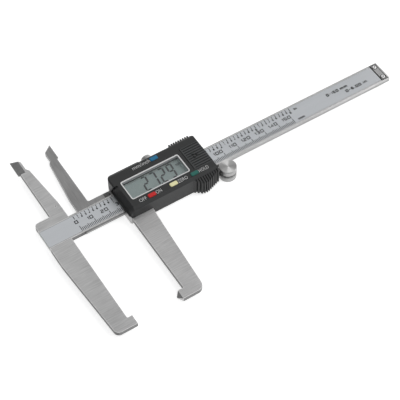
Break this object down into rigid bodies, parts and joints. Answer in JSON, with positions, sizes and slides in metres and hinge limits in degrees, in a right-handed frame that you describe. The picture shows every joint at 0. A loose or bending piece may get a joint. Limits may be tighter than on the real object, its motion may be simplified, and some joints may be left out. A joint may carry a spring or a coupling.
{
  "type": "digital brake disc gauge",
  "caption": "Digital sliding gauge for brake discs: a graduated steel beam with a long hooked jaw, and a slider with a pointed jaw, a crossing upper blade and a display housing.",
  "frame": {"origin": "centre of the slider frame's flat back, on which the gauge lies, with the slider where the picture shows it", "axes": "+X along the beam from the fixed jaws to the free end, +Y across the beam towards the upper blades, +Z out of the graduated face"},
  "size_m": [0.2433, 0.1386, 0.0154],
  "materials": {
    "ground_steel": "fine ground stainless steel",
    "scale_metal": "satin plate with printed graduation",
    "stop_metal": "dull plate",
    "screw_steel": "turned steel",
    "knob_steel": "plated knurl",
    "roller_steel": "turned and plated",
    "roller_arm_paint": "blackened spring steel",
    "gib_bronze": "drawn strip",
    "contact_bronze": "thin strip",
    "circuit_board": "lacquered board",
    "chip_resin": "resin blob",
    "dome_steel": "pressed sheet",
    "strip_rubber": "conductive rubber",
    "display": "liquid crystal panel",
    "window": "clear acrylic",
    "white_frame": "white print",
    "housing_plastic": "fine-grained black moulding",
    "door_plastic": "fine-grained black moulding",
    "blue_cap": "moulded cap",
    "red_cap": "moulded cap",
    "yellow_cap": "moulded cap",
    "green_cap": "moulded cap",
    "cell_steel": "plated can"
  },
  "bodies": {
    "beam": {"beam": "ground_steel", "scale_board": "circuit_board", "scale_plate": "scale_metal", "end_stop": "stop_metal", "end_stop_screws": "screw_steel"},
    "slider": {"slider_frame": "ground_steel", "gib_strip": "gib_bronze", "gib_screws": "screw_steel", "main_board": "circuit_board", "processor_chip": "chip_resin", "switch_domes": "dome_steel", "display_strips": "strip_rubber", "display_panel": "display", "window_lens": "window", "window_frame": "white_frame", "housing": "housing_plastic", "housing_screws": "screw_steel", "battery_cell": "cell_steel", "battery_contact_minus": "contact_bronze", "battery_contact_plus": "contact_bronze", "roller_arm": "roller_arm_paint", "roller_arm_screw": "screw_steel"},
    "lock_screw": {"lock_screw": "knob_steel"},
    "units_button": {"units_button": "blue_cap"},
    "power_button": {"power_button": "red_cap"},
    "zero_button": {"zero_button": "yellow_cap"},
    "hold_button": {"hold_button": "green_cap"},
    "battery_door": {"battery_door": "door_plastic"},
    "roller": {"thumb_roller": "roller_steel", "roller_disc": "roller_steel"}
  },
  "joints": [
    {"name": "slider_slide", "type": "slide", "parent": "beam", "child": "slider", "axis": [1, 0, 0], "range_m": [-0.02724, 0.12271]},
    {"name": "roller_turn", "type": "hinge", "parent": "slider", "child": "roller", "pos_m": [0.0376, -0.0135, 0], "axis": [0, 0, 1], "range_deg": [-290, 1295]},
    {"name": "lock_screw_turn", "type": "hinge", "parent": "slider", "child": "lock_screw", "pos_m": [0.0007, 0.012, 0.00455], "axis": [0, 1, 0], "range_deg": [-90, 360]},
    {"name": "battery_door_slide", "type": "slide", "parent": "slider", "child": "battery_door", "axis": [1, 0, 0], "range_m": [0, 0.016]},
    {"name": "units_button_press", "type": "slide", "parent": "slider", "child": "units_button", "axis": [0, 0, -1], "range_m": [0, 0.0005], "stiffness_N_per_m": 1500},
    {"name": "power_button_press", "type": "slide", "parent": "slider", "child": "power_button", "axis": [0, 0, -1], "range_m": [0, 0.0005], "stiffness_N_per_m": 1500},
    {"name": "zero_button_press", "type": "slide", "parent": "slider", "child": "zero_button", "axis": [0, 0, -1], "range_m": [0, 0.0005], "stiffness_N_per_m": 1500},
    {"name": "hold_button_press", "type": "slide", "parent": "slider", "child": "hold_button", "axis": [0, 0, -1], "range_m": [0, 0.0005], "stiffness_N_per_m": 1500}
  ],
  "couplings": [
    {"joint": "roller_turn", "follows": "slider_slide", "rad_per_m": 183.49}
  ]
}
